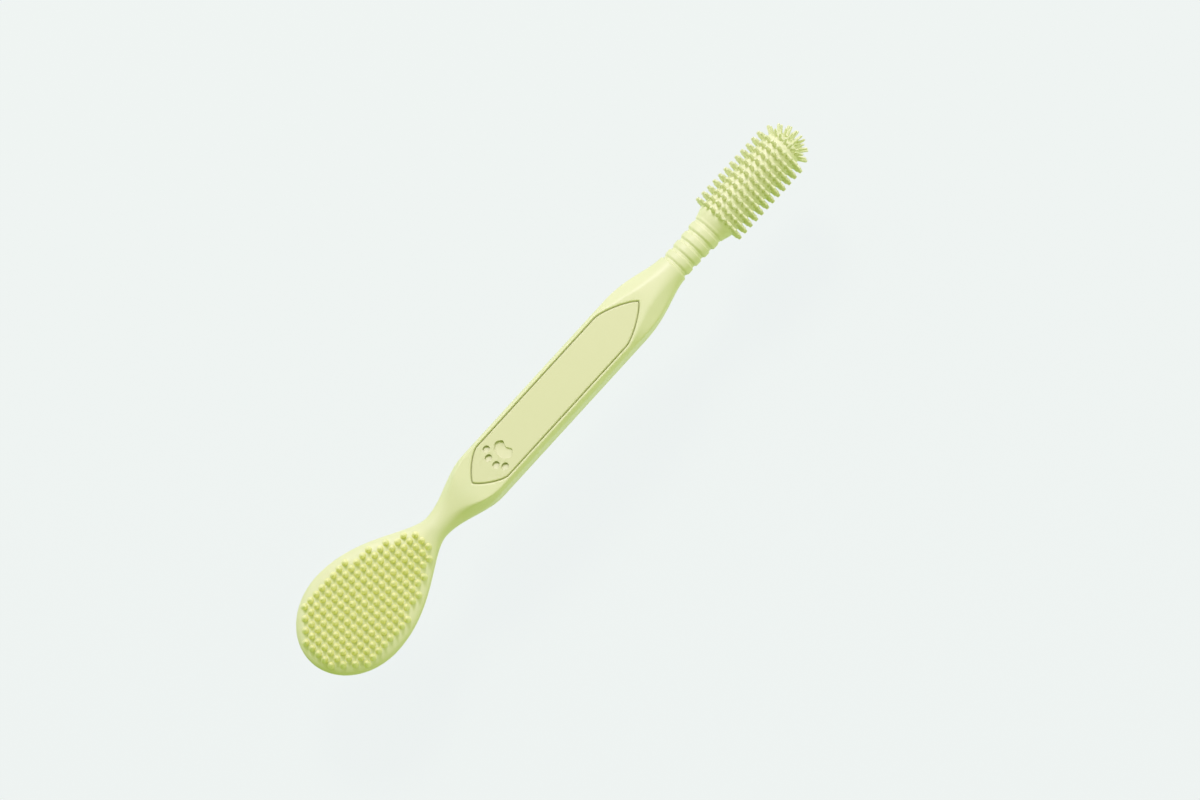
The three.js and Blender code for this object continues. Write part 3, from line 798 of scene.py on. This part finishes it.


def silicone(name, colour, cloud_colour, painted_shade_colour, painted_shade_open_from, roughness, grain):
    """Soft-touch silicone with faint clouds in its colour. Its crevices get painted shade: where
    less than a given share of the space round a place is open, its colour turns towards a darker,
    greener painted shade colour."""
    n = Nodes(name)
    where = n.add("ShaderNodeTexCoord").outputs["Object"]
    clouds = n.add("ShaderNodeTexNoise", {"Vector": where, "Scale": CLOUD_SCALE, "Detail": 3})
    body = n.add("ShaderNodeMix", {0: clouds.outputs["Fac"], 6: colour, 7: cloud_colour},
                 data_type="RGBA")
    # Painted shade: ambient occlusion darkens crevices, grooves and recesses towards the painted
    # shade colour.
    shelter = n.add("ShaderNodeAmbientOcclusion", {"Distance": PAINTED_SHADE_REACH * MM}, samples=8)
    depth = n.add("ShaderNodeMapRange", {
        "Value": shelter.outputs["AO"], "From Min": FULL_PAINTED_SHADE_BELOW, "From Max": painted_shade_open_from,
        "To Min": 0.1, "To Max": 1.0,
    }, interpolation_type="SMOOTHSTEP")
    tint = n.add("ShaderNodeMix", {
        0: depth.outputs["Result"], 6: painted_shade_colour, 7: body.outputs[2],
    }, data_type="RGBA")
    fine = n.add("ShaderNodeTexNoise", {"Vector": where, "Scale": GRAIN_SCALE, "Detail": 2})
    bump = n.add("ShaderNodeBump", {
        "Height": fine.outputs["Fac"], "Strength": grain, "Distance": GRAIN_HEIGHT * MM,
    })
    shader = n.add("ShaderNodeBsdfPrincipled", {
        "Base Color": tint.outputs[2], "Roughness": roughness, "IOR": 1.41,
        "Sheen Weight": 0.08, "Sheen Roughness": 0.5, "Normal": bump.outputs["Normal"],
    })
    n.add("ShaderNodeOutputMaterial", {"Surface": shader.outputs["BSDF"]})
    return n.owner


def firm_plastic(name, colour, flow_colour):
    """The plain moulded plastic of the cores, with faint flow marks."""
    n = Nodes(name)
    where = n.add("ShaderNodeTexCoord").outputs["Object"]
    flow = n.add("ShaderNodeTexNoise", {"Vector": where, "Scale": 220, "Detail": 4})
    tint = n.add("ShaderNodeMix", {0: flow.outputs["Fac"], 6: colour, 7: flow_colour},
                 data_type="RGBA")
    shader = n.add("ShaderNodeBsdfPrincipled", {
        "Base Color": tint.outputs[2], "Roughness": 0.45, "IOR": 1.49,
    })
    n.add("ShaderNodeOutputMaterial", {"Surface": shader.outputs["BSDF"]})
    return n.owner


def paint(obj, material):
    """Gives an object one material."""
    obj.data.materials.clear()
    obj.data.materials.append(material)


# ---- The studio ----

BACKGROUND = srgb(239, 244, 242)

PHOTO_WIDTH = 1200  # pixels
PIXEL = 0.26285  # millimetres at the brush
LEAN = math.radians(47.57)  # of the brush over the picture's lower edge
ROLL = math.radians(8.3)  # of the front face towards the picture's upper left
PITCH = math.radians(4.5)  # by which the paddle is nearer than the finger
ORIGIN_FROM_CENTRE = (-43.81, 3.96)  # of the frame's origin in the picture, in pixels
CAMERA_DISTANCE = 1800
SENSOR = 36

# The picture's right, up and towards-the-camera directions in the frame.
FACING = (Matrix.Rotation(LEAN, 3, "Z") @ Matrix.Rotation(PITCH, 3, "Y")
          @ Matrix.Rotation(-ROLL, 3, "X")).transposed()
RIGHT, UP, TOWARDS = (FACING.col[i].copy() for i in range(3))


def make_camera():
    """The photo's view, from far away."""
    data = bpy.data.cameras.new("camera")
    data.sensor_width = SENSOR
    data.lens = SENSOR * CAMERA_DISTANCE / (PHOTO_WIDTH * PIXEL)
    camera = bpy.data.objects.new("camera", data)
    across, above = ORIGIN_FROM_CENTRE
    target = -(RIGHT * across + UP * above) * PIXEL
    place = Matrix.Translation((target + TOWARDS * CAMERA_DISTANCE) * MM)
    camera.matrix_world = place @ FACING.to_4x4()
    bpy.context.scene.collection.objects.link(camera)
    bpy.context.scene.camera = camera


LAMPS = [
    # name, turn from the picture's right towards its top and rise towards the camera in
    # degrees, size in metres, power in watts, colour
    ("key", 106, 37, 0.2, 4.7, (0.88, 0.72, 1.0)),
    ("top", 142, 26, 0.6, 1.6, (0.88, 0.72, 1.0)),
    ("side", 6, 38, 0.9, 2.9, (0.92, 0.76, 0.94)),
]
LAMP_DISTANCE = 0.9
AMBIENT = (0.77, 1.0, 0.08, 1)
AMBIENT_STRENGTH = 0.435
FLOOR_REACH = 4.0  # metres from its middle to its sides
FLOOR_DROP = 19  # from the brush to the floor, so that the bent finger stays over it
FLOOR_COLOUR = srgb(216, 240, 170)
FLOOR_GLOW = srgb(240.5, 244.5, 246.5)  # that, with the light on the floor, makes the background
FLOOR_GLOW_SHARE = 0.94  # of what the camera sees of the floor; the rest keeps the shadow


def soft_lamp(name, turn, rise, size, power, colour):
    """A square lamp that shines on the brush from a direction given against the picture."""
    data = bpy.data.lights.new(name, "AREA")
    data.shape = "SQUARE"
    data.size = size
    data.energy = power
    data.color = colour
    turn, rise = math.radians(turn), math.radians(rise)
    level = RIGHT * math.cos(turn) + UP * math.sin(turn)
    towards = (level * math.cos(rise) + TOWARDS * math.sin(rise)).normalized()
    lamp = bpy.data.objects.new(name, data)
    facing = towards.to_track_quat("Z", "Y").to_matrix().to_4x4()
    lamp.matrix_world = Matrix.Translation(towards * LAMP_DISTANCE) @ facing
    bpy.context.scene.collection.objects.link(lamp)


def see_through_mix(nodes, most):
    """How far a ray sees the plain backdrop: up to most for rays from the camera and for
    reflections, and not at all for light that falls on the brush."""
    ray = nodes.add("ShaderNodeLightPath")
    seen = ray.outputs["Is Camera Ray"]
    for kind in ("Is Glossy Ray", "Is Transmission Ray"):
        seen = nodes.add("ShaderNodeMath", {0: seen, 1: ray.outputs[kind]},
                         operation="MAXIMUM").outputs[0]
    return nodes.add("ShaderNodeMath", {0: seen, 1: most}, operation="MULTIPLY").outputs[0]


def make_floor():
    """A plain pale floor, which shows its own glow to the camera and a matt side to the light."""
    height = cad_box[0].z - FLOOR_DROP * MM
    mesh = bpy.data.meshes.new("floor")
    corners = [(-1, -1), (1, -1), (1, 1), (-1, 1)]
    vertices = [(FLOOR_REACH * x, FLOOR_REACH * y, height) for x, y in corners]
    mesh.from_pydata(vertices, [], [(0, 1, 2, 3)])
    floor = bpy.data.objects.new("floor", mesh)
    bpy.context.scene.collection.objects.link(floor)
    n = Nodes("floor")
    plain = n.add("ShaderNodeEmission", {"Color": FLOOR_GLOW, "Strength": 1.0})
    matt = n.add("ShaderNodeBsdfDiffuse", {"Color": FLOOR_COLOUR})
    mixed = n.add("ShaderNodeMixShader", {
        0: see_through_mix(n, FLOOR_GLOW_SHARE), 1: matt.outputs[0], 2: plain.outputs[0],
    })
    n.add("ShaderNodeOutputMaterial", {"Surface": mixed.outputs[0]})
    paint(floor, n.owner)


def make_world():
    """The background's colour for the camera, and a greenish light from all round for the brush."""
    world = bpy.data.worlds.new("studio")
    bpy.context.scene.world = world
    n = Nodes("studio", world)
    seen = n.add("ShaderNodeBackground", {"Color": BACKGROUND, "Strength": 1.0})
    light = n.add("ShaderNodeBackground", {"Color": AMBIENT, "Strength": AMBIENT_STRENGTH})
    mixed = n.add("ShaderNodeMixShader", {
        0: see_through_mix(n, 1.0), 1: light.outputs[0], 2: seen.outputs[0],
    })
    n.add("ShaderNodeOutputWorld", {"Surface": mixed.outputs[0]})


# ---- The whole scene ----


def main():
    """Makes the studio, the materials and all pieces."""
    bpy.context.scene.view_settings.view_transform = "Standard"
    make_camera()
    for lamp in LAMPS:
        soft_lamp(*lamp)
    make_world()
    make_floor()
    # The last colour of each silicone is the painted shade of its crevices. The finger's and the
    # panel's painted shade is deeper and reaches further.
    skin_silicone = silicone(
        "silicone", srgb(234, 240, 210), srgb(236, 240, 206), srgb(184, 194, 38),
        painted_shade_open_from=0.8, roughness=0.42, grain=0.12,
    )
    finger_silicone = silicone(
        "finger_silicone", srgb(234, 240, 210), srgb(236, 240, 206), srgb(176, 186, 4),
        painted_shade_open_from=0.7, roughness=0.42, grain=0.12,
    )
    # The nubs get a paler copy of the skin's silicone: painted light that brightens the nub field.
    painted_light_nub_silicone = silicone(
        "painted_light_nub_silicone", srgb(245, 247, 200), srgb(246, 247, 196), srgb(202, 208, 38),
        painted_shade_open_from=0.8, roughness=0.42, grain=0.12,
    )
    panel_silicone = silicone(
        "panel_silicone", srgb(229, 233, 201), srgb(231, 234, 203), srgb(112, 120, 10),
        painted_shade_open_from=0.9, roughness=0.5, grain=0.15,
    )
    plastic = firm_plastic("firm_plastic", srgb(240, 240, 234), srgb(228, 229, 220))
    for node in ("grip_stiffener", "finger_core"):
        paint(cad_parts[node], plastic)
    pieces = [make_handle_skin(), *[make_rib(index) for index in range(RING_COUNT + 1)]]
    for piece in pieces:
        paint(piece, skin_silicone)
    paint(make_finger(), finger_silicone)
    paint(make_nubs(), painted_light_nub_silicone)
    paint(make_panel(), panel_silicone)


main()
